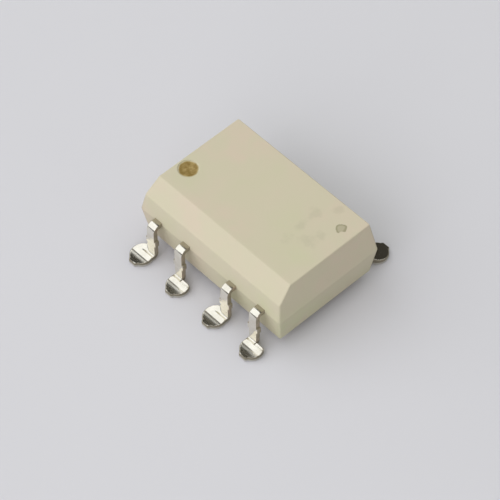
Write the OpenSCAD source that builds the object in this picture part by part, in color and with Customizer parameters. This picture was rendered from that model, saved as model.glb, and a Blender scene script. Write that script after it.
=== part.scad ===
// Surface-mount dual optocoupler: a cream moulded body, eight formed leads, and
// inside it two emitters and two detectors, each pair under a clear gel dome.
// +X runs along the body, lead 1 is at -X on the -Y side, and z = 0 is the board.

/* [Moulded body] */
// Length of the body at the parting line
body_l = 9.5; // [9.1:0.05:10.4]
// Width of the body at the parting line
body_w = 6.36; // [6:0.04:7]
// Height of the body above the parting line
upper_h = 1.82; // [1.6:0.02:2.4]
// Depth of the body below the parting line
lower_h = 1.62; // [1.2:0.02:2]
// Gap between the underside of the body and the board
standoff = 0.54; // [0.3:0.02:1]
// Draft of the long sides, in degrees
side_draft = 9; // [4:0.5:12]
// Draft of the ends above the parting line, in degrees
end_draft = 9.5; // [4:0.5:12]
// Draft of the ends below the parting line, in degrees
under_draft = 8; // [3:0.5:12]
// Width of the bevel along the top of the lead 1 side
bevel_w = 0.81; // [0.4:0.01:1.2]
// Height of that bevel
bevel_h = 0.8; // [0.4:0.05:1.2]
// Width of the flat down each upright corner
corner_flat = 0.08; // [0.05:0.01:0.3]
// Diameter of the index dimple beside lead 1
dimple_d = 1.06; // [0.6:0.02:1.2]
// Depth of the index dimple
dimple_depth = 0.04; // [0.02:0.01:0.1]
// Distance from the end of the top to the middle of the dimple
dimple_end = 0.625; // [0.6:0.025:1.4]
// Distance from the bevel to the middle of the dimple
dimple_side = 1.3; // [0.7:0.05:1.7]

/* [Leads outside the body] */
// Distance between neighbouring feet
pin_pitch = 2.54; // [2.5:0.01:2.6]
// Thickness of the lead sheet
lead_t = 0.25; // [0.2:0.01:0.3]
// Width of a lead between the body and its foot
neck_w = 0.5; // [0.4:0.02:0.6]
// Sideways shift of each neck from the middle of its foot
neck_shift = 0.31; // [0.2:0.01:0.34]
// Level run of a lead before it bends down
stub_l = 0.2; // [0.1:0.01:0.4]
// Inner radius of the bend at the shoulder
shoulder_r = 0.1; // [0.06:0.01:0.16]
// Inner radius of the bend at the heel
heel_r = 0.16; // [0.08:0.01:0.24]
// Diameter of the round pad of a foot, which ends square at the leg
pad_d = 1.16; // [1.04:0.02:1.3]
// Distance from the leg to the middle of the pad
pad_reach = 0.35; // [0.32:0.01:0.5]
// Width of the toe
toe_w = 0.52; // [0.4:0.02:0.7]
// Distance from the middle of the pad to the tip of the toe
toe_reach = 0.63; // [0.6:0.01:0.8]
// How far each cut dam bar stands out from the neck
dam_out = 0.08; // [0.04:0.01:0.12]
// Height of the cut dam bar
dam_h = 0.36; // [0.2:0.02:0.5]
// Drop from the parting line to the middle of the cut dam bar
dam_drop = 1; // [0.7:0.02:1.1]

/* [Lead frame inside the body] */
// Cover of moulding between the side of the body and an anchor
anchor_in = 0.4; // [0.3:0.02:0.6]
// Width of the anchor that keeps each lead in the moulding
anchor_w = 0.86; // [0.7:0.02:1]
// Length of the anchor
anchor_l = 0.7; // [0.5:0.02:0.9]
// Diameter of the locking hole through each anchor
lock_d = 0.36; // [0.2:0.02:0.44]
// Length of the island that carries an emitter
led_island_l = 0.8; // [0.7:0.02:1]
// Length of the island that carries a detector
det_island_l = 1.1; // [1:0.02:1.3]
// Width of the post that a bond wire lands on
post_w = 0.6; // [0.5:0.02:0.64]
// Gap between a post and the island beside it
post_gap = 0.35; // [0.25:0.01:0.45]
// Gap between the emitter side and the detector side
isolation = 0.4; // [0.3:0.02:0.5]

/* [Dice, wires and gel] */
// Side of an emitter die
led_side = 0.3; // [0.25:0.01:0.4]
// Side of a detector die
det_side = 0.7; // [0.6:0.02:0.8]
// Thickness of every die
die_t = 0.22; // [0.18:0.01:0.26]
// Bare rim of the island between a detector die and the post gap
die_rim = 0.15; // [0.1:0.01:0.2]
// Thickness of the adhesive under every die
attach_t = 0.04; // [0.03:0.01:0.06]
// Width of the adhesive that shows round every die
attach_rim = 0.05; // [0.03:0.01:0.08]
// Diameter of the bond wire
wire_d = 0.04; // [0.03:0.01:0.05]
// Height of the wire's loop above the line between its ends
wire_rise = 0.3; // [0.2:0.01:0.34]
// Diameter of the ball and of the stitch at the ends of a wire
bond_d = 0.12; // [0.1:0.01:0.14]
// Height of the ball and of the stitch
bond_h = 0.06; // [0.05:0.01:0.08]
// Diameter of a gel dome where it lies on the lead frame
dome_d = 3; // [2.9:0.05:3.2]
// Height of a gel dome above the lead frame
dome_h = 0.95; // [0.85:0.05:1.1]

/* [Hidden] */
$fn = 48;
over = 1;                                  // how far a cutter runs past what it cuts

// heights above the board
part_z = standoff + lower_h;               // parting line, and the middle of the lead sheet
top_z = part_z + upper_h;
frame_top = part_z + lead_t / 2;
frame_low = part_z - lead_t / 2;
die_z = frame_top + attach_t;
die_top = die_z + die_t;

// half widths of the body, seen from its end
top_half = body_w / 2 - upper_h * tan(side_draft);
low_half = body_w / 2 - lower_h * tan(side_draft);
kink_half = body_w / 2 - (upper_h - bevel_h) * tan(side_draft);
// half lengths of the body, seen from its side
top_end = body_l / 2 - upper_h * tan(end_draft);
low_end = body_l / 2 - lower_h * tan(under_draft);
// half lengths along a diagonal, to the corner flats
diagonal = (body_l + body_w) / 2 * cos(45) - corner_flat / 2;
top_diagonal = diagonal - upper_h * (tan(side_draft) + tan(end_draft)) * cos(45);
low_diagonal = diagonal - lower_h * (tan(side_draft) + tan(under_draft)) * cos(45);

// a lead seen from its side, where u is the distance from the middle of the body
stub_u = body_w / 2 + stub_l;              // where the shoulder starts to bend
leg_u = stub_u + shoulder_r;               // inner face of the upright leg
heel_u = leg_u + lead_t + heel_r;          // where the flat of the foot starts
heel_z = lead_t + heel_r;
pad_u = leg_u + lead_t + pad_reach;
tip_u = pad_u + toe_reach;

// the lead frame seen from above: the necks pair up about the middle of a channel
channel_x = pin_pitch;
foot_x = [pin_pitch / 2, pin_pitch * 3 / 2];
neck_x = [foot_x[0] + neck_shift, foot_x[1] - neck_shift];
anchor_u = body_w / 2 - anchor_in;         // outer end of an anchor
anchor_end = anchor_u - anchor_l;          // inner end of an anchor
post_x = neck_x[1];
island_x0 = neck_x[0] - neck_w / 2;
island_x1 = post_x - post_w / 2 - post_gap;
die_x = island_x1 - die_rim - det_side / 2;
led_u = (isolation + led_island_l) / 2;
det_u = (isolation + det_island_l) / 2;

// ---- drawing helpers -------------------------------------------------------

// lays a side drawing of (u, z) in the YZ plane, with this width about x
module along_x(width, x = 0) {
    translate([x - width / 2, 0, 0]) rotate([90, 0, 90]) linear_extrude(width) children();
}

// lays a front drawing of (x, z) in the XZ plane, from y = start to y = end
module along_y(start, end) {
    translate([0, end, 0]) rotate([90, 0, 0]) linear_extrude(end - start) children();
}

// a rectangle of this width about x, from y = start to y = end
module strip(width, x, start, end) {
    translate([x - width / 2, start]) square([width, end - start]);
}

// puts a piece drawn for the right-hand channel of the far side where it belongs
module placed(channel, far) {
    mirror([channel == 1 ? 1 : 0, 0, 0]) mirror([0, far ? 0 : 1, 0]) children();
}

// ---- moulded body ----------------------------------------------------------

// a drafted outline: half sizes at the underside, at the parting line and at the top
module drafted(low, middle, top) {
    polygon([
        [-low, standoff], [low, standoff], [middle, part_z],
        [top, top_z], [-top, top_z], [-middle, part_z]
    ]);
}

// the outline seen from the end, with the bevel on the lead 1 side
module end_outline() {
    difference() {
        drafted(low_half, body_w / 2, top_half);
        polygon([
            [-kink_half, top_z - bevel_h], [bevel_w - kink_half, top_z],
            [bevel_w - kink_half, top_z + over], [-body_w, top_z + over],
            [-body_w, top_z - bevel_h]
        ]);
    }
}

module block() {
    intersection() {
        along_x(body_l + over) end_outline();
        along_y(-body_w, body_w) drafted(low_end, body_l / 2, top_end);
        for (turn = [-45, 45]) {
            rotate([0, 0, turn]) along_y(-body_l, body_l)
                drafted(low_diagonal, diagonal, top_diagonal);
        }
    }
}

module moulded_body() {
    color([0.82, 0.8, 0.7]) difference() {
        block();
        translate([dimple_end - top_end, bevel_w + dimple_side - kink_half, top_z - dimple_depth])
            cylinder(d = dimple_d, h = dimple_depth + over);
        for (channel = [1, 2]) {
            placed(channel, true) dome();
            for (far = [false, true], outer = [0, 1]) {
                placed(channel, far) flat_part(outer, far);
            }
        }
    }
}

// ---- leads -----------------------------------------------------------------

// the level part of a lead: neck, anchor with its locking hole, and post or island
module flat_part(outer, far) {
    island_end = isolation / 2 + (far ? det_island_l : led_island_l);
    translate([0, 0, frame_low]) linear_extrude(lead_t) {
        difference() {
            union() {
                strip(neck_w, neck_x[outer], anchor_end, stub_u);
                strip(anchor_w, neck_x[outer], anchor_end, anchor_u);
            }
            translate([neck_x[outer], (anchor_end + anchor_u) / 2]) circle(d = lock_d);
        }
        if (outer == 1) {
            strip(post_w, post_x, isolation / 2, anchor_end);
        } else {
            strip(neck_w, neck_x[0], isolation / 2, anchor_end);
            strip(island_x1 - island_x0, (island_x0 + island_x1) / 2, isolation / 2, island_end);
        }
    }
}

// a quarter of a bend with this inner radius, drawn for the quarter where u and z are positive
module quarter_bend(r) {
    difference() {
        intersection() {
            circle(r + lead_t);
            square(r + lead_t);
        }
        circle(r);
    }
}

// a lead's neck seen from the side, from the shoulder to the middle of the pad
module neck_side() {
    translate([stub_u, frame_low - shoulder_r]) quarter_bend(shoulder_r);
    translate([leg_u, heel_z]) square([lead_t, frame_low - shoulder_r - heel_z]);
    translate([heel_u, heel_z]) rotate(180) quarter_bend(heel_r);
    translate([heel_u, 0]) square([pad_u - heel_u, lead_t]);
}

module lead(channel, outer, far) {
    color([0.78, 0.77, 0.74]) placed(channel, far) {
        flat_part(outer, far);
        along_x(neck_w, neck_x[outer]) neck_side();
        along_y(leg_u, leg_u + lead_t)
            translate([neck_x[outer] - neck_w / 2 - dam_out, part_z - dam_drop - dam_h / 2])
                square([neck_w + 2 * dam_out, dam_h]);
        linear_extrude(lead_t) {
            intersection() {
                translate([foot_x[outer], pad_u]) circle(d = pad_d);
                strip(pad_d, foot_x[outer], leg_u + lead_t, tip_u);
            }
            strip(toe_w, foot_x[outer], pad_u, tip_u);
        }
    }
}

// ---- dice, adhesive, wires and gel ------------------------------------------

function die_u(far) = far ? det_u : led_u;
function die_side(far) = far ? det_side : led_side;

module die_shape(far) {
    translate([die_x, die_u(far), die_z])
        linear_extrude(die_t) square(die_side(far), center = true);
}

module attach_shape(far) {
    translate([die_x, die_u(far), frame_top])
        linear_extrude(attach_t) square(die_side(far) + 2 * attach_rim, center = true);
}

// ball on the die, arched wire, and stitch on the post
module wire_shape(far) {
    run = post_x - die_x;
    drop = die_top - frame_top;
    chord = sqrt(run * run + drop * drop);
    radius = (chord * chord / 4 + wire_rise * wire_rise) / (2 * wire_rise);
    half_arc = asin(chord / 2 / radius);
    translate([0, die_u(far), 0]) {
        translate([die_x, 0, die_top]) cylinder(d = bond_d, h = bond_h);
        translate([post_x, 0, frame_top]) cylinder(d = bond_d, h = bond_h);
        translate([die_x + run / 2, 0, (die_top + frame_top + bond_h) / 2])
            rotate([0, atan2(drop, run), 0]) translate([0, 0, wire_rise - radius])
                rotate([90, 0, 0]) rotate([0, 0, 90 - half_arc])
                    rotate_extrude(angle = 2 * half_arc) translate([radius, 0]) circle(d = wire_d);
    }
}

// the whole dome, before room is made in it for what it covers: a cap of a ball
module dome() {
    radius = (dome_d * dome_d / 4 + dome_h * dome_h) / (2 * dome_h);
    translate([channel_x, 0, frame_top]) rotate_extrude() intersection() {
        translate([0, dome_h - radius]) circle(radius);
        square([dome_d, dome_h + over]);
    }
}

module die(channel, far) {
    color(far ? [0.34, 0.36, 0.42] : [0.5, 0.3, 0.32]) placed(channel, far) die_shape(far);
}

module attach(channel, far) {
    color([0.66, 0.66, 0.64]) placed(channel, far) attach_shape(far);
}

module wire(channel, far) {
    color([0.9, 0.74, 0.36]) placed(channel, far) wire_shape(far);
}

module gel_dome(channel) {
    color([0.86, 0.9, 0.92, 0.5]) difference() {
        placed(channel, true) dome();
        for (far = [false, true]) {
            placed(channel, far) {
                attach_shape(far);
                die_shape(far);
                wire_shape(far);
            }
        }
    }
}

// ---- the part ----------------------------------------------------------------

moulded_body();
lead(1, 1, false);  // lead_1
lead(1, 0, false);  // lead_2
lead(2, 0, false);  // lead_3
lead(2, 1, false);  // lead_4
lead(2, 1, true);  // lead_5
lead(2, 0, true);  // lead_6
lead(1, 0, true);  // lead_7
lead(1, 1, true);  // lead_8
die(1, false);  // led_die_1
die(2, false);  // led_die_2
die(1, true);  // detector_die_1
die(2, true);  // detector_die_2
attach(1, false);  // led_attach_1
attach(2, false);  // led_attach_2
attach(1, true);  // detector_attach_1
attach(2, true);  // detector_attach_2
wire(1, false);  // led_wire_1
wire(2, false);  // led_wire_2
wire(1, true);  // detector_wire_1
wire(2, true);  // detector_wire_2
gel_dome(1);  // gel_dome_1
gel_dome(2);  // gel_dome_2
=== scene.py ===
import math

import bmesh
import bpy
from mathutils import Matrix, Vector


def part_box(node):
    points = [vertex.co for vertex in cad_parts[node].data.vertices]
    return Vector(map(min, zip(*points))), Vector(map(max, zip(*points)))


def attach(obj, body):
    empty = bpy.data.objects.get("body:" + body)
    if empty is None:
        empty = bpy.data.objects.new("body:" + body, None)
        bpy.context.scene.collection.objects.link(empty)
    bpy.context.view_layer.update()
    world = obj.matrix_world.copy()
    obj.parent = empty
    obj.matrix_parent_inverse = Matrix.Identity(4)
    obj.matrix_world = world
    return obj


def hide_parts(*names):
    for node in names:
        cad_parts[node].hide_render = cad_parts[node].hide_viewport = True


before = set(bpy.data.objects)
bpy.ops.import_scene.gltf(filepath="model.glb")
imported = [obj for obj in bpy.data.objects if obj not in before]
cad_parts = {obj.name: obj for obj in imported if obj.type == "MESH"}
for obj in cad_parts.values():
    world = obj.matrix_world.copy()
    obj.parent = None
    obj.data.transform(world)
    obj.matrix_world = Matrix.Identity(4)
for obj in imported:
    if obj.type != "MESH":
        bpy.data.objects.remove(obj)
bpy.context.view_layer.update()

MM = 0.001                                     # a millimetre in the frame's metres


def corners(node):
    """The lowest and the highest corner of a CAD node in millimetres, to the nearest micrometre."""
    return [[round(value / MM, 3) for value in corner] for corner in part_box(node)]


# ---- the moulded body, in millimetres as in the CAD source --------------------------
BODY_LOW, BODY_HIGH = corners("moulded_body")
HALF_L, HALF_W, TOP_Z = BODY_HIGH
LOW_Z = BODY_LOW[2]
PART_Z = LOW_Z + 1.62                          # height of the parting line
SIDE_DRAFT = math.radians(9)                   # lean of the long walls
END_DRAFT = math.radians(9.5)                  # lean of the ends above the parting line
UNDER_DRAFT = math.radians(8)                  # lean of the ends below it
BEVEL_W = 0.81                                 # the bevel along the top of the lead 1 side
BEVEL_H = 0.8
BEVEL_Z = TOP_Z - BEVEL_H
BEVEL_Y = (BEVEL_Z - PART_Z) * math.tan(SIDE_DRAFT) - HALF_W
CORNER_FLAT = 0.08                             # width of the flat down each upright corner
INDEX_R = 0.53                                 # the index dimple
INDEX_DEPTH = 0.04
INDEX_X = (TOP_Z - PART_Z) * math.tan(END_DRAFT) - HALF_L + 0.625
INDEX_Y = BEVEL_Y + BEVEL_W + 1.3
EJECTOR_X = 2.6                                # the two ejector marks on the underside
EJECTOR_R = 0.6
EJECTOR_DEPTH = 0.02
SKIN = 0.002                                   # how far the detailed skin lies inside the CAD one
SEAM = 0.012                                   # chamfer on the ridge at the parting line
ROUNDING = 0.055                               # rounding of the body's edges
TURN = 0.2                                     # radians that an edge turns by, at least, to be rounded
CLEAR = 0.4                                    # how far a cutter runs past what it cuts

# ---- the leads, in millimetres as in the CAD source ---------------------------------
# "out" is a distance from the middle of the body towards the feet, "run" is a distance
# along the flat blank from the tip of the toe, and "across" goes from the middle of a
# foot towards its neck.
PITCH = 2.54
SHEET = 0.25
FRAME_LOW = PART_Z - SHEET / 2                 # underside of the lead frame in the body
STUB_OUT = HALF_W + 0.2                        # where the shoulder starts
SHOULDER_R = 0.1                               # inner radii of the two bends
HEEL_R = 0.16
SHOULDER_MID = SHOULDER_R + SHEET / 2          # radii of the middle of the sheet there
HEEL_MID = HEEL_R + SHEET / 2
SHOULDER_Z = FRAME_LOW - SHOULDER_R            # axes of the two bends, with HEEL_OUT
HEEL_Z = SHEET + HEEL_R
LEG_OUT = STUB_OUT + SHOULDER_R                # inner face of the leg
FACE_OUT = LEG_OUT + SHEET                     # outer face of the leg
HEEL_OUT = FACE_OUT + HEEL_R
PAD_R = 0.58
PAD_OUT = FACE_OUT + 0.35
TIP_OUT = PAD_OUT + 0.63
TOE_W = 0.52
TOE_CHAMFER = 0.07
NECK_W = 0.5
NECK_SHIFT = 0.31                              # from the middle of the foot
NECK_LOW = NECK_SHIFT - NECK_W / 2
NECK_HIGH = NECK_SHIFT + NECK_W / 2
DAM_W = 0.08                                   # the sheared ends of the dam bar
DAM_H = 0.36
DAM_SLANT = 0.02
DAM_Z = PART_Z - 1
ANCHOR_OUT = HALF_W - 0.4                      # the anchor that keeps a lead in the moulding
ANCHOR_END = ANCHOR_OUT - 0.7
ANCHOR_W = 0.86
LOCK_R = 0.18
ISLAND_EDGE = 2.85 - PITCH / 2                 # far edge of an island, from the foot's middle
EMITTER_END = 1.0                              # where the islands of emitters and detectors end
DETECTOR_END = 1.3
POST_W = 0.6
GAP_OUT = 0.2                                  # half the gap between the two rows of leads

EDGE = 0.028                                   # rounding of the plated edges
SLIT = 0.03                                    # gap between the square back of a pad and its neck
WEB = 0.36                                     # width of a web that curls from a pad into its neck

PAD_RUN = TIP_OUT - PAD_OUT
BACK_RUN = TIP_OUT - FACE_OUT                  # back of the pad, flush with the leg
HEEL_RUN = TIP_OUT - HEEL_OUT
LEG_RUN = HEEL_RUN + HEEL_MID * math.pi / 2
SHOULDER_RUN = LEG_RUN + SHOULDER_Z - HEEL_Z
STUB_RUN = SHOULDER_RUN + SHOULDER_MID * math.pi / 2
DAM_RUN = LEG_RUN + DAM_Z - HEEL_Z
WEB_RUN = BACK_RUN + 0.15                      # where a web's edge starts and ends
WEB_END = LEG_RUN + 0.52

# The crowned top of a foot: how far from the leg each stretch ends and how steeply it falls.
FOOT_SLOPES = (
    (0.4, 0.17), (0.43, 0.13), (0.455, 0.085), (0.48, 0.045), (0.505, 0.08), (0.59, 0.092),
    (0.63, 0.08), (0.67, 0.065), (0.71, 0.05), (0.77, 0.035), (BACK_RUN, 0.025),
)
CROWN = 0.1                                    # height of the foot's top at the leg
TOE_TURN = TIP_OUT - 0.09                      # from here the toe turns down on the neck's side
TOE_FALL = 1.2                                 # how sharply it does
HEEL_CURL = FACE_OUT + 0.12                    # from here to there the foot curls up into the heel
CURL_END = FACE_OUT - 0.18
CURL_RISE = 0.9                                # how sharply it does


# ---- small helpers -------------------------------------------------------------------
def steps(start, stop, count):
    """Evenly spaced values from start to stop, both included."""
    return [start + (stop - start) * k / count for k in range(count + 1)]


def add_object(name, data):
    obj = bpy.data.objects.new(name, data)
    bpy.context.scene.collection.objects.link(obj)
    return obj


def mesh_object(name, bm):
    """An object with the shape in bm, which is freed."""
    mesh = bpy.data.meshes.new(name)
    bm.normal_update()
    bm.to_mesh(mesh)
    bm.free()
    return add_object(name, mesh)


def evaluated_mesh(obj):
    graph = bpy.context.evaluated_depsgraph_get()
    return bpy.data.meshes.new_from_object(obj.evaluated_get(graph))


def apply_modifiers(obj):
    mesh = evaluated_mesh(obj)
    obj.modifiers.clear()
    obj.data = mesh


def smooth(obj, degrees):
    """Smooth shading, but for edges that turn by more than this."""
    for poly in obj.data.polygons:
        poly.use_smooth = True
    obj.data.set_sharp_from_angle(angle=math.radians(degrees))


def flatten_big_faces(obj):
    """Keeps the large faces flat in shading and leaves the turn to the rounded edges between them."""
    modifier = obj.modifiers.new("flat", "WEIGHTED_NORMAL")
    modifier.mode = "FACE_AREA"
    modifier.weight = 100
    modifier.keep_sharp = True
    apply_modifiers(obj)


def boolean(obj, other, operation):
    """Cuts or trims an object by another one, which is used up."""
    modifier = obj.modifiers.new("cut", "BOOLEAN")
    modifier.operation = operation
    modifier.solver = "EXACT"
    modifier.object = other
    apply_modifiers(obj)
    bpy.data.objects.remove(other)


def everything(bm):
    return bm.verts[:] + bm.edges[:] + bm.faces[:]


def lathe(name, profile, count, place):
    """A solid turned about an upright axis at the place, from (radius, height) points.

    The profile starts and ends on the axis, where the faces are triangles.
    """
    bm = bmesh.new()
    turns = steps(0, 2 * math.pi, count)[:-1]
    rings = []
    for radius, height in profile:
        points = [(radius * math.cos(turn), radius * math.sin(turn), height) for turn in turns]
        rings.append([bm.verts.new(point) for point in (points if radius else points[:1])])
    for low, high in zip(rings, rings[1:]):
        for k in range(count):
            around = ((low, k), (low, k + 1), (high, k + 1), (high, k))
            face = [ring[index % len(ring)] for ring, index in around]
            bm.faces.new(list(dict.fromkeys(face)))
    bmesh.ops.recalc_face_normals(bm, faces=bm.faces)
    bm.transform(Matrix.Translation(place))
    return mesh_object(name, bm)


def cad_copy(node):
    """A copy of a CAD node's mesh in millimetres, to trim another mesh with."""
    bm = bmesh.new()
    bm.from_mesh(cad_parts[node].data)
    bmesh.ops.scale(bm, verts=bm.verts, vec=(1 / MM, 1 / MM, 1 / MM))
    bmesh.ops.remove_doubles(bm, verts=bm.verts, dist=1e-5)
    return mesh_object("core", bm)


# ---- moulded body --------------------------------------------------------------------
def body_planes():
    """Every flat face of the block as (point, outward normal)."""
    half = math.sqrt(0.5)
    corner = ((HALF_L + HALF_W) * half - CORNER_FLAT / 2) * half
    planes = [((0, 0, TOP_Z), (0, 0, 1)), ((0, 0, LOW_Z), (0, 0, -1))]
    for way in (1, -1):
        end_point, side_point = (way * HALF_L, 0, PART_Z), (0, way * HALF_W, PART_Z)
        for tilt, up in ((END_DRAFT, 1), (UNDER_DRAFT, -1)):
            planes.append((end_point, (way * math.cos(tilt), 0, up * math.sin(tilt))))
        for up in (1, -1):
            planes.append((side_point, (0, way * math.cos(SIDE_DRAFT), up * math.sin(SIDE_DRAFT))))
        for side in (1, -1):
            corner_point = (way * corner, side * corner, PART_Z)
            for tilt, up in ((END_DRAFT, 1), (UNDER_DRAFT, -1)):
                slope = (math.tan(SIDE_DRAFT) + math.tan(tilt)) * half
                planes.append((corner_point, (way * half, side * half, up * slope)))
    planes.append(((0, BEVEL_Y, BEVEL_Z), (0, -BEVEL_H, BEVEL_W)))
    return planes


def body_block():
    """The block with sharp edges: a rough cube cut down by each plane in turn."""
    bm = bmesh.new()
    bmesh.ops.create_cube(bm, size=12, matrix=Matrix.Translation((0, 0, PART_Z)))
    for point, normal in body_planes():
        outward = Vector(normal).normalized()
        cut = bmesh.ops.bisect_plane(
            bm, geom=everything(bm), dist=1e-6,
            plane_co=Vector(point) - outward * SKIN, plane_no=outward, clear_outer=True,
        )["geom_cut"]
        edges = [item for item in cut if isinstance(item, bmesh.types.BMEdge)]
        if edges:
            bmesh.ops.contextual_create(bm, geom=edges)
    bmesh.ops.remove_doubles(bm, verts=bm.verts, dist=1e-4)
    bmesh.ops.recalc_face_normals(bm, faces=bm.faces)
    return bm


def at_parting(edge):
    return all(abs(vert.co.z - PART_Z) < 0.01 for vert in edge.verts)


def bevel(bm, edges, width, segments):
    bmesh.ops.bevel(bm, geom=edges, offset=width, segments=segments, affect="EDGES", profile=0.5)


def index_cutter():
    """The index dimple, with a rounded floor edge and a sloped wall."""
    profile = [
        (0, -INDEX_DEPTH - 0.003), (INDEX_R - 0.06, -INDEX_DEPTH - 0.003),
        (INDEX_R - 0.03, -INDEX_DEPTH + 0.003), (INDEX_R - 0.01, -INDEX_DEPTH / 2),
        (INDEX_R, -0.01), (INDEX_R + 0.02, 0.0005), (INDEX_R + 0.02, CLEAR), (0, CLEAR),
    ]
    return lathe("index_cut", profile, 64, (INDEX_X, INDEX_Y, TOP_Z))


def ejector_cutter(x):
    """A shallow round mark in the underside."""
    profile = [
        (0, -CLEAR), (EJECTOR_R + 0.02, -CLEAR), (EJECTOR_R + 0.02, 0),
        (EJECTOR_R, EJECTOR_DEPTH - 0.005), (EJECTOR_R - 0.02, EJECTOR_DEPTH), (0, EJECTOR_DEPTH),
    ]
    return lathe("ejector_cut", profile, 48, (x, 0, LOW_Z))


def moulded_body():
    bm = body_block()
    bevel(bm, [edge for edge in bm.edges if at_parting(edge)], SEAM, 1)
    bevel(bm, [edge for edge in bm.edges if edge.calc_face_angle(0) > TURN], ROUNDING, 4)
    body = mesh_object("body_skin", bm)
    boolean(body, index_cutter(), "DIFFERENCE")
    for x in (-EJECTOR_X, EJECTOR_X):
        boolean(body, ejector_cutter(x), "DIFFERENCE")
    boolean(body, cad_copy("moulded_body"), "INTERSECT")
    body.data.transform(Matrix.Diagonal((MM, MM, MM, 1)))
    smooth(body, 32)
    flatten_big_faces(body)
    body.data.materials.clear()
    body.data.materials.append(cream_moulding())
    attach(body, "root")
    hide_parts("moulded_body")


# ---- leads: the flat blank ------------------------------------------------------------
def level_run(out):
    """How far along the blank its level inner part reaches this distance from the middle."""
    return STUB_RUN + STUB_OUT - out


def arc(start, stop, count):
    """Points (across, run) round the pad's circle, between two angles."""
    return [(PAD_R * math.cos(a), PAD_RUN + PAD_R * math.sin(a)) for a in steps(start, stop, count)]


def toe_outline():
    half = TOE_W / 2
    return [(half, TOE_CHAMFER), (half - TOE_CHAMFER, 0), (TOE_CHAMFER - half, 0), (-half, TOE_CHAMFER)]


def webbed_side(start):
    """The side of the foot that runs up into the neck by a web."""
    edge = [
        (NECK_LOW - WEB * (1 - share) ** 1.3, WEB_RUN + (WEB_END - WEB_RUN) * share)
        for share in steps(0, 1, 12)
    ]
    return arc(start, math.radians(-236), 40) + edge


def open_side(start):
    """The side of the foot that ends square at the leg, with a slit between it and the neck."""
    slit = NECK_LOW - SLIT
    return arc(start, math.radians(-212), 32) + [
        (-0.43, BACK_RUN - 0.015), (-0.38, BACK_RUN), (slit - 0.05, BACK_RUN),
        (slit - 0.012, BACK_RUN - 0.014), (slit, BACK_RUN - 0.05),
        (slit, HEEL_RUN + 0.02), (slit + SLIT / 2, HEEL_RUN), (NECK_LOW, HEEL_RUN + 0.02),
    ]


def dam_end(edge, way):
    """The sheared end of the dam bar on one edge of the leg, from below."""
    return [
        (edge, DAM_RUN - DAM_H / 2), (edge + way * DAM_W, DAM_RUN - DAM_H / 2 + DAM_SLANT),
        (edge + way * DAM_W, DAM_RUN + DAM_H / 2 - DAM_SLANT), (edge, DAM_RUN + DAM_H / 2),
    ]


def post_outline():
    low, high = NECK_SHIFT - POST_W / 2, NECK_SHIFT + POST_W / 2
    anchor, gap = level_run(ANCHOR_END), level_run(GAP_OUT)
    return [(low, anchor), (low, gap), (high, gap), (high, anchor)]


def island_outline(end_out):
    anchor, gap, end = level_run(ANCHOR_END), level_run(GAP_OUT), level_run(end_out)
    return [
        (NECK_LOW, anchor), (NECK_LOW, gap), (ISLAND_EDGE, gap),
        (ISLAND_EDGE, end), (NECK_HIGH, end), (NECK_HIGH, anchor),
    ]


def inner_outline(outer, far):
    """The part of the blank inside the body, from the low side of the neck round to its high side."""
    low, high = NECK_SHIFT - ANCHOR_W / 2, NECK_SHIFT + ANCHOR_W / 2
    start, end = level_run(ANCHOR_OUT), level_run(ANCHOR_END)
    island_end = DETECTOR_END if far else EMITTER_END
    points = [(NECK_LOW, start), (low, start), (low, end)]
    points += post_outline() if outer else island_outline(island_end)
    points += [(high, end), (high, start), (NECK_HIGH, start)]
    return points


def blank_outline(outer, far, webbed):
    """The whole flat blank of a lead, as (across, run) points round it from the toe."""
    half_toe = TOE_W / 2
    start = math.atan2(-math.sqrt(PAD_R ** 2 - half_toe ** 2), -half_toe)
    return (
        toe_outline()
        + (webbed_side(start) if webbed else open_side(start))
        + dam_end(NECK_LOW, -1)
        + inner_outline(outer, far)
        + dam_end(NECK_HIGH, 1)[::-1]
        + arc(math.acos(NECK_HIGH / PAD_R), -math.acos(half_toe / PAD_R), 16)
    )


def lock_hole():
    middle = level_run((ANCHOR_OUT + ANCHOR_END) / 2)
    turns = steps(0, -2 * math.pi, 24)[:-1]
    return [(NECK_SHIFT + LOCK_R * math.cos(a), middle + LOCK_R * math.sin(a)) for a in turns]


def blank(outer, far, webbed):
    """The flat blank as a plate with rounded edges, from 0 to the sheet's thickness in height."""
    curve = bpy.data.curves.new("blank", "CURVE")
    curve.dimensions = "2D"
    curve.fill_mode = "BOTH"
    curve.extrude = SHEET / 2 - EDGE
    curve.bevel_depth = EDGE
    curve.bevel_resolution = 2
    curve.offset = -EDGE
    for loop in (blank_outline(outer, far, webbed), lock_hole()):
        spline = curve.splines.new("POLY")
        spline.points.add(len(loop) - 1)
        for point, (across, run) in zip(spline.points, loop):
            point.co = (across, run, 0, 1)
        spline.use_cyclic_u = True
    obj = add_object("blank", curve)
    bpy.context.view_layer.update()
    bm = bmesh.new()
    bm.from_mesh(evaluated_mesh(obj))
    bpy.data.objects.remove(obj)
    bmesh.ops.translate(bm, verts=bm.verts, vec=(0, 0, SHEET / 2))
    bmesh.ops.remove_doubles(bm, verts=bm.verts, dist=1e-5)
    bmesh.ops.recalc_face_normals(bm, faces=bm.faces)
    return bm


def mark_edges(bm):
    """Gives the second material to the sheared sides and, at the toe, to all of their rounding."""
    for face in bm.faces:
        least = 0.99 if face.calc_center_median().y < PAD_RUN else 0.8
        face.material_index = 1 if abs(face.normal.z) < least else 0


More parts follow.
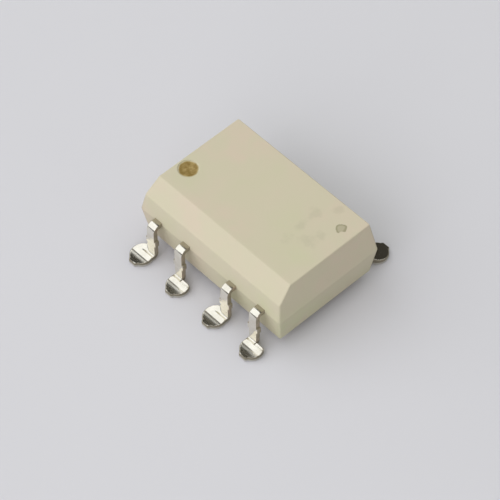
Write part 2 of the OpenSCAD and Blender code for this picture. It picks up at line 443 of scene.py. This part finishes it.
def slice_blank(bm):
    """Cuts the plate across wherever it will bend or curve, and lengthwise through foot and web."""
    cuts = steps(0, HEEL_RUN, 24)[1:-1] + [BACK_RUN - end for end, _ in FOOT_SLOPES[:-1]]
    cuts += steps(HEEL_RUN, LEG_RUN, 12) + steps(LEG_RUN, LEG_RUN + 0.5, 10)[1:]
    cuts += steps(SHOULDER_RUN, STUB_RUN, 12)
    for run in cuts:
        geom = everything(bm)
        bmesh.ops.bisect_plane(bm, geom=geom, dist=1e-6, plane_co=(0, run, 0), plane_no=(0, 1, 0))
    for across in steps(-0.515, 0.541, 16):
        faces = [face for face in bm.faces if face.calc_center_median().y < WEB_END]
        edges = {edge for face in faces for edge in face.edges}
        verts = {vert for face in faces for vert in face.verts}
        geom = faces + list(edges) + list(verts)
        bmesh.ops.bisect_plane(bm, geom=geom, dist=1e-6, plane_co=(across, 0, 0), plane_no=(1, 0, 0))


# ---- leads: the forming ----------------------------------------------------------------
def foot_top(out, across):
    """How far the coined and plated top of the foot lies above or below the flat sheet."""
    rise, start = CROWN, 0
    for end, slope in FOOT_SLOPES:
        stop = min(max(out - FACE_OUT, start), end)
        rise -= slope * (stop - start)
        start = stop
    if out > TOE_TURN and across > 0:
        rise -= TOE_FALL * (out - TOE_TURN) ** 2 * min(across / 0.15, 1)
    if out < HEEL_CURL:
        rise += CURL_RISE * (HEEL_CURL - max(out, CURL_END)) ** 2
    return rise


def ease(value, start, stop):
    """0 up to start, 1 from stop on, and smooth between."""
    share = min(max((value - start) / (stop - start), 0), 1)
    return share * share * (3 - 2 * share)


def bend_neck(across, run, depth):
    """Where a point of the neck goes: up the heel and the leg, over the shoulder and into the body."""
    if run <= LEG_RUN:
        turn = (run - HEEL_RUN) / HEEL_MID
        radius = HEEL_R + SHEET - depth
        lift = foot_top(HEEL_OUT, across) * depth / SHEET * (1 - math.sin(turn))
        return across, HEEL_OUT - radius * math.sin(turn), HEEL_Z - radius * math.cos(turn) + lift
    if run <= SHOULDER_RUN:
        return across, LEG_OUT + depth, HEEL_Z + run - LEG_RUN
    if run <= STUB_RUN:
        turn = (run - SHOULDER_RUN) / SHOULDER_MID
        radius = SHOULDER_R + depth
        return across, STUB_OUT + radius * math.cos(turn), SHOULDER_Z + radius * math.sin(turn)
    return across, STUB_OUT + STUB_RUN - run, FRAME_LOW + depth


def bend(across, run, depth, webbed):
    """Where a point of the flat blank goes when the lead is formed, as (across, out, height)."""
    out = TIP_OUT - run
    level = (across, out, depth + foot_top(out, across) * depth / SHEET)
    beside_slit = not webbed and across < NECK_LOW - SLIT / 2 and run <= BACK_RUN + 0.001
    if run <= HEEL_RUN or beside_slit:
        return level
    formed = bend_neck(across, run, depth)
    if not webbed or run >= WEB_END:
        return formed
    by_width = ease(across, NECK_LOW - WEB, NECK_LOW + 0.12)
    by_run = ease(run, HEEL_RUN + 0.15, WEB_END)
    share = 1 - (1 - by_width) * (1 - by_run)
    return tuple(a + (b - a) * share for a, b in zip(level, formed))


def lead(number, tin, edge):
    """One formed lead. Leads 1 to 4 stand along -Y from -X on, and 5 to 8 come back along +Y."""
    outer = number in (1, 4, 5, 8)
    far = number > 4
    webbed = number % 2 == 1
    side = 1 if 3 <= number <= 6 else -1
    foot_x = PITCH * (1.5 if outer else 0.5)
    turned = -1 if outer else 1
    bm = blank(outer, far, webbed)
    mark_edges(bm)
    slice_blank(bm)
    for vert in bm.verts:
        across, out, height = bend(*vert.co, webbed)
        vert.co = ((foot_x + turned * across) * side, out if far else -out, height)
        vert.co *= MM
    bmesh.ops.recalc_face_normals(bm, faces=bm.faces)
    obj = mesh_object(f"formed_lead_{number}", bm)
    smooth(obj, 40)
    obj.data.materials.append(tin)
    obj.data.materials.append(edge)
    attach(obj, "root")
    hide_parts(f"lead_{number}")


def leads():
    tin, edge = tin_plate(), cut_edge()
    for number in range(1, 9):
        lead(number, tin, edge)


# ---- materials -------------------------------------------------------------------------
def srgb(red, green, blue):
    """The linear colour that a shader takes, from levels of 0 to 255 as a screen shows them."""
    def linear(level):
        share = level / 255
        return share / 12.92 if share <= 0.04045 else ((share + 0.055) / 1.055) ** 2.4
    return (linear(red), linear(green), linear(blue), 1)


CREAM = srgb(205, 196, 172)
CREAM_PINK = srgb(209, 194, 174)
CREAM_GREEN = srgb(201, 198, 166)
MARK_DEPTH = 0.1                               # how deep the marks on the top reach, in millimetres

# The faint smudges on the top, as x, y and size in millimetres.
SMUDGES = (
    (3.2, 0.2, 0.5), (3.4, 0.8, 0.3), (2.2, 1.6, 0.35),
    (2.3, 0.6, 0.3), (2.3, -0.4, 0.3), (2.8, 2.5, 0.3),
)


class Look:
    """A node material and the patterns that it is put together from."""

    def __init__(self, name):
        self.material = bpy.data.materials.new(name)
        self.material.use_nodes = True
        self.nodes = self.material.node_tree.nodes
        self.links = self.material.node_tree.links
        self.shader = self.nodes["Principled BSDF"]

    def feed(self, socket, value):
        """Links a socket to another one, or gives it a plain number or colour."""
        if isinstance(value, bpy.types.NodeSocket):
            self.links.new(value, socket)
        else:
            socket.default_value = value

    def place(self):
        """The point on the object, in metres."""
        return self.nodes.new("ShaderNodeTexCoord").outputs["Object"]

    def axis(self, name):
        """The X, Y or Z of that point."""
        split = self.nodes.new("ShaderNodeSeparateXYZ")
        self.links.new(self.place(), split.inputs["Vector"])
        return split.outputs[name]

    def noise(self, scale, detail=3):
        texture = self.nodes.new("ShaderNodeTexNoise")
        texture.inputs["Scale"].default_value = scale
        texture.inputs["Detail"].default_value = detail
        self.links.new(self.place(), texture.inputs["Vector"])
        return texture.outputs["Fac"]

    def ramp(self, source, stops):
        """A colour by the source's value, from (value, colour) pairs."""
        node = self.nodes.new("ShaderNodeValToRGB")
        while len(node.color_ramp.elements) < len(stops):
            node.color_ramp.elements.new(0.5)
        for element, (value, colour) in zip(node.color_ramp.elements, stops):
            element.position = value
            element.color = colour
        self.links.new(source, node.inputs["Fac"])
        return node.outputs["Color"]

    def blend(self, amount, low, high):
        """The colour low where the amount is 0, high where it is 1, and a mixture between."""
        node = self.nodes.new("ShaderNodeMix")
        node.data_type = "RGBA"
        self.links.new(amount, node.inputs["Factor"])
        for name, value in (("A", low), ("B", high)):
            self.feed(next(one for one in node.inputs if one.name == name and one.type == "RGBA"), value)
        return next(one for one in node.outputs if one.type == "RGBA")

    def span(self, source, start, stop):
        """0 where the source is at start or before it, 1 at stop or past it, and smooth between."""
        node = self.nodes.new("ShaderNodeMapRange")
        node.interpolation_type = "SMOOTHSTEP"
        rising = start < stop
        node.inputs["From Min"].default_value = start if rising else stop
        node.inputs["From Max"].default_value = stop if rising else start
        node.inputs["To Min"].default_value = 0 if rising else 1
        node.inputs["To Max"].default_value = 1 if rising else 0
        self.links.new(source, node.inputs["Value"])
        return node.outputs["Result"]

    def maths(self, operation, first, second):
        node = self.nodes.new("ShaderNodeMath")
        node.operation = operation
        self.feed(node.inputs[0], first)
        self.feed(node.inputs[1], second)
        return node.outputs["Value"]

    def times(self, first, second):
        return self.maths("MULTIPLY", first, second)

    def reach(self, centre, size):
        """How far the point lies from a centre, as a share of the size each way, in millimetres."""
        offset, scaled, length = (self.nodes.new("ShaderNodeVectorMath") for _ in range(3))
        offset.operation = "SUBTRACT"
        offset.inputs[1].default_value = [value * MM for value in centre]
        scaled.operation = "DIVIDE"
        scaled.inputs[1].default_value = [value * MM for value in size]
        length.operation = "LENGTH"
        self.links.new(self.place(), offset.inputs[0])
        self.links.new(offset.outputs["Vector"], scaled.inputs[0])
        self.links.new(scaled.outputs["Vector"], length.inputs[0])
        return length.outputs["Value"]

    def relief(self, height, strength):
        """A relief of about a hundredth of a millimetre."""
        bump = self.nodes.new("ShaderNodeBump")
        bump.inputs["Strength"].default_value = strength
        bump.inputs["Distance"].default_value = 0.01 * MM
        self.links.new(height, bump.inputs["Height"])
        self.links.new(bump.outputs["Normal"], self.shader.inputs["Normal"])

    def done(self, colour, metallic, roughness):
        """The finished material."""
        self.links.new(colour, self.shader.inputs["Base Color"])
        self.shader.inputs["Metallic"].default_value = metallic
        self.shader.inputs["Roughness"].default_value = roughness
        return self.material


def moulding_skin(look):
    """The mottled cream of the moulding."""
    mottle = look.ramp(look.noise(260, 2), [(0.35, CREAM_PINK), (0.5, CREAM), (0.65, CREAM_GREEN)])
    return look.blend(look.span(look.noise(1100), 0.3, 0.75), mottle, CREAM)


def burnt_index(look, skin):
    """The brown burn in the index dimple, darkest in a ring, with a pale rim."""
    ragged = look.times(look.noise(2600), 0.1)
    far = look.maths("ADD", look.reach((INDEX_X, INDEX_Y, TOP_Z - INDEX_DEPTH), (1, 1, 1)), ragged)
    burn = look.ramp(look.noise(5200), [
        (0.36, srgb(136, 110, 50)), (0.5, srgb(154, 129, 74)), (0.62, srgb(174, 150, 94)),
    ])
    ring = look.times(look.span(far, 0.2, 0.38), look.span(far, 0.56, 0.42))
    burn = look.blend(look.times(ring, 0.35), burn, srgb(132, 106, 44))
    rim = look.times(look.span(far, 0.44, 0.54), 0.6)
    burn = look.blend(rim, burn, srgb(178, 157, 104))
    return look.blend(look.span(far, 0.575, 0.48), skin, burn)


def smudges(look, skin):
    """The faint smudges, each one blurred and broken up by the same noise."""
    ragged = look.times(look.noise(2400, 4), 3)
    patch = 0
    for x, y, size in SMUDGES:
        far = look.maths("ADD", look.reach((x, y, TOP_Z), (size, size, MARK_DEPTH)), ragged)
        patch = look.maths("MAXIMUM", patch, look.span(far, 2.7, 1.5))
    return look.blend(look.times(patch, 0.32), skin, srgb(180, 173, 148))


def painted_dent_shade(look, skin):
    """The painted shade of a small shallow dent near one corner of the top: darker inside, with a bite
    left pale on the lit side and a darker rim.
    """
    ragged = look.times(look.noise(4200), 0.9)
    far = look.maths("ADD", look.reach((3.68, 1.74, TOP_Z), (0.27, 0.28, MARK_DEPTH)), ragged)
    lit_side = look.reach((4.0, 1.55, TOP_Z), (0.24, 0.2, MARK_DEPTH))
    # painted shade: a dark crescent with a darker rim, left pale on its lit side, stands for the shade in
    # a small dent
    dent_shade = look.times(look.span(far, 1.5, 1.3), look.span(lit_side, 0.7, 1))
    skin = look.blend(look.times(dent_shade, 0.6), skin, srgb(160, 153, 124))
    rim = look.times(look.times(dent_shade, look.span(far, 0.9, 1.2)), 0.6)
    return look.blend(rim, skin, srgb(142, 136, 105))


def cream_moulding():
    look = Look("cream_moulding")
    colour = moulding_skin(look)
    for mark in (burnt_index, smudges, painted_dent_shade):
        colour = mark(look, colour)
    look.relief(look.noise(30000, 2), 0.08)
    return look.done(colour, 0, 0.62)


def tin_plate():
    """Bright tin, with painted shade on the stretch where a lead leaves the body."""
    look = Look("tin_plate")
    tone = look.noise(2500)
    bright = look.ramp(tone, [(0.35, srgb(229, 224, 211)), (0.65, srgb(238, 234, 223))])
    out = look.maths("ABSOLUTE", look.axis("Y"), 0)
    # painted shade: the tin is darkened next to the body, in the corner where the lead comes out
    painted_shade_by_body = look.span(out, (STUB_OUT + 0.04) * MM, (STUB_OUT - 0.04) * MM)
    look.relief(tone, 0.15)
    return look.done(look.blend(painted_shade_by_body, bright, srgb(188, 182, 167)), 1, 0.15)


def cut_edge():
    """The sheared edges of the sheet: a dark alloy whose darkness is partly its own and partly painted
    shade, with painted shade darkest at a foot's rim and a pale painted reflection of the floor low down.
    """
    look = Look("cut_edge")
    # the alloy's darkness is partly its own colour and partly painted shade, the dark it would reflect
    # from under the body
    alloy_and_shade = look.ramp(look.noise(3500), [
        (0.3, srgb(148, 139, 119)), (0.5, srgb(163, 153, 134)), (0.7, srgb(176, 157, 139)),
    ])
    height = look.axis("Z")
    # painted shade: the edges are darkened low on the foot, along its rim
    rim = look.span(height, 0.34 * MM, 0.28 * MM)
    # painted reflection: the lowest part of an edge is made pale, like the floor it faces
    painted_floor_reflection = look.span(height, 0.17 * MM, 0.09 * MM)
    colour = look.blend(rim, alloy_and_shade, srgb(136, 128, 111))
    return look.done(look.blend(painted_floor_reflection, colour, srgb(193, 190, 183)), 0.3, 0.45)


def inner_material(name, colour, metallic, roughness, alpha=1):
    """A plain look with a slight unevenness, for what lies inside the body."""
    look = Look(name)
    darker = tuple(value * 0.92 for value in colour[:3]) + (1,)
    shade = look.ramp(look.noise(4000), [(0.35, darker), (0.65, colour)])
    look.shader.inputs["Alpha"].default_value = alpha
    return look.done(shade, metallic, roughness)


def inner_pieces():
    """The dice, adhesive, wires and gel keep their CAD shapes and get their looks."""
    materials = {
        "led_die": inner_material("emitter_die", srgb(129, 79, 84), 0, 0.3),
        "detector_die": inner_material("silicon_die", srgb(89, 90, 108), 0.3, 0.2),
        "attach": inner_material("die_adhesive", srgb(174, 174, 170), 0.4, 0.5),
        "wire": inner_material("gold_wire", srgb(226, 195, 124), 1, 0.2),
        "gel_dome": inner_material("clear_gel", srgb(230, 235, 238), 0, 0.15, 0.4),
    }
    for name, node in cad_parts.items():
        for key, material in materials.items():
            if key in name:
                node.data.materials.clear()
                node.data.materials.append(material)


# ---- stage, lamps and camera ------------------------------------------------------------
def floor():
    """Half a metre of pale paper each way."""
    bm = bmesh.new()
    bmesh.ops.create_grid(bm, x_segments=1, y_segments=1, size=0.5)
    obj = mesh_object("floor", bm)
    look = Look("floor_paper")
    shade = look.ramp(look.noise(40), [(0.3, srgb(212, 210, 217)), (0.7, srgb(214, 212, 219))])
    look.shader.inputs["Specular IOR Level"].default_value = 0.1
    obj.data.materials.append(look.done(shade, 0, 0.9))


def lamp(name, direction, distance, size, watts, colour):
    """An area lamp that faces the part, with its width as near to level along X as can be."""
    data = bpy.data.lights.new(name, "AREA")
    data.shape = "RECTANGLE"
    data.size, data.size_y = size
    data.energy = watts
    data.color = colour
    way = Vector(direction).normalized()
    across = (Vector((1, 0, 0)) - way * way.x).normalized()
    turn = Matrix((across, way.cross(across), way)).transposed().to_4x4()
    add_object(name, data).matrix_world = Matrix.Translation(way * distance) @ turn


def room(level):
    """An even light from all round, which shows as a dark room in reflections."""
    world = bpy.data.worlds.new("room")
    bpy.context.scene.world = world
    world.use_nodes = True
    nodes, links = world.node_tree.nodes, world.node_tree.links
    even = nodes["Background"]
    even.inputs["Color"].default_value = (0.97, 1, 0.9, 1)
    even.inputs["Strength"].default_value = level
    dark = nodes.new("ShaderNodeBackground")
    dark.inputs["Color"].default_value = (0.04, 0.037, 0.03, 1)
    mix = nodes.new("ShaderNodeMixShader")
    links.new(nodes.new("ShaderNodeLightPath").outputs["Is Glossy Ray"], mix.inputs["Fac"])
    links.new(even.outputs["Background"], mix.inputs[1])
    links.new(dark.outputs["Background"], mix.inputs[2])
    links.new(mix.outputs["Shader"], nodes["World Output"].inputs["Surface"])


def lights():
    lamp("softbox", (-0.451, -0.47, 0.77), 0.4, (0.56, 0.68), 1.38, (0.97, 0.99, 1.0))
    lamp("fill", (0.3, -0.8, 0.5), 0.6, (0.4, 0.4), 0.92, (0.95, 0.94, 1.0))
    lamp("back", (0.1, 0.57, 0.82), 0.6, (0.3, 0.3), 0.3, (1.0, 1.0, 1.0))
    room(0.46)


def camera():
    """The camera at the photo's angle, with the part a little right of and below the picture's middle."""
    azimuth, elevation, roll = (math.radians(angle) for angle in (47.441, 52.185, -0.924))
    distance, aside, below = 142.489 * MM, 0.436 * MM, 0.297 * MM
    data = bpy.data.cameras.new("camera")
    data.sensor_width = 36
    data.lens = 216
    data.clip_start = 0.01
    data.clip_end = 5
    level = Vector((math.cos(azimuth), math.sin(azimuth), 0))
    away = Vector((math.sin(azimuth), -math.cos(azimuth), 0))
    back = away * math.cos(elevation) + Vector((0, 0, math.sin(elevation)))
    upright = back.cross(level)
    right = level * math.cos(roll) + upright * math.sin(roll)
    up = upright * math.cos(roll) - level * math.sin(roll)
    turn = Matrix((right, up, back)).transposed().to_4x4()
    obj = add_object("camera", data)
    obj.matrix_world = Matrix.Translation(back * distance - right * aside + up * below) @ turn
    bpy.context.scene.camera = obj


def view():
    scene = bpy.context.scene
    scene.view_settings.view_transform = "Standard"
    scene.render.resolution_x = 500
    scene.render.resolution_y = 500


moulded_body()
leads()
inner_pieces()
floor()
lights()
camera()
view()
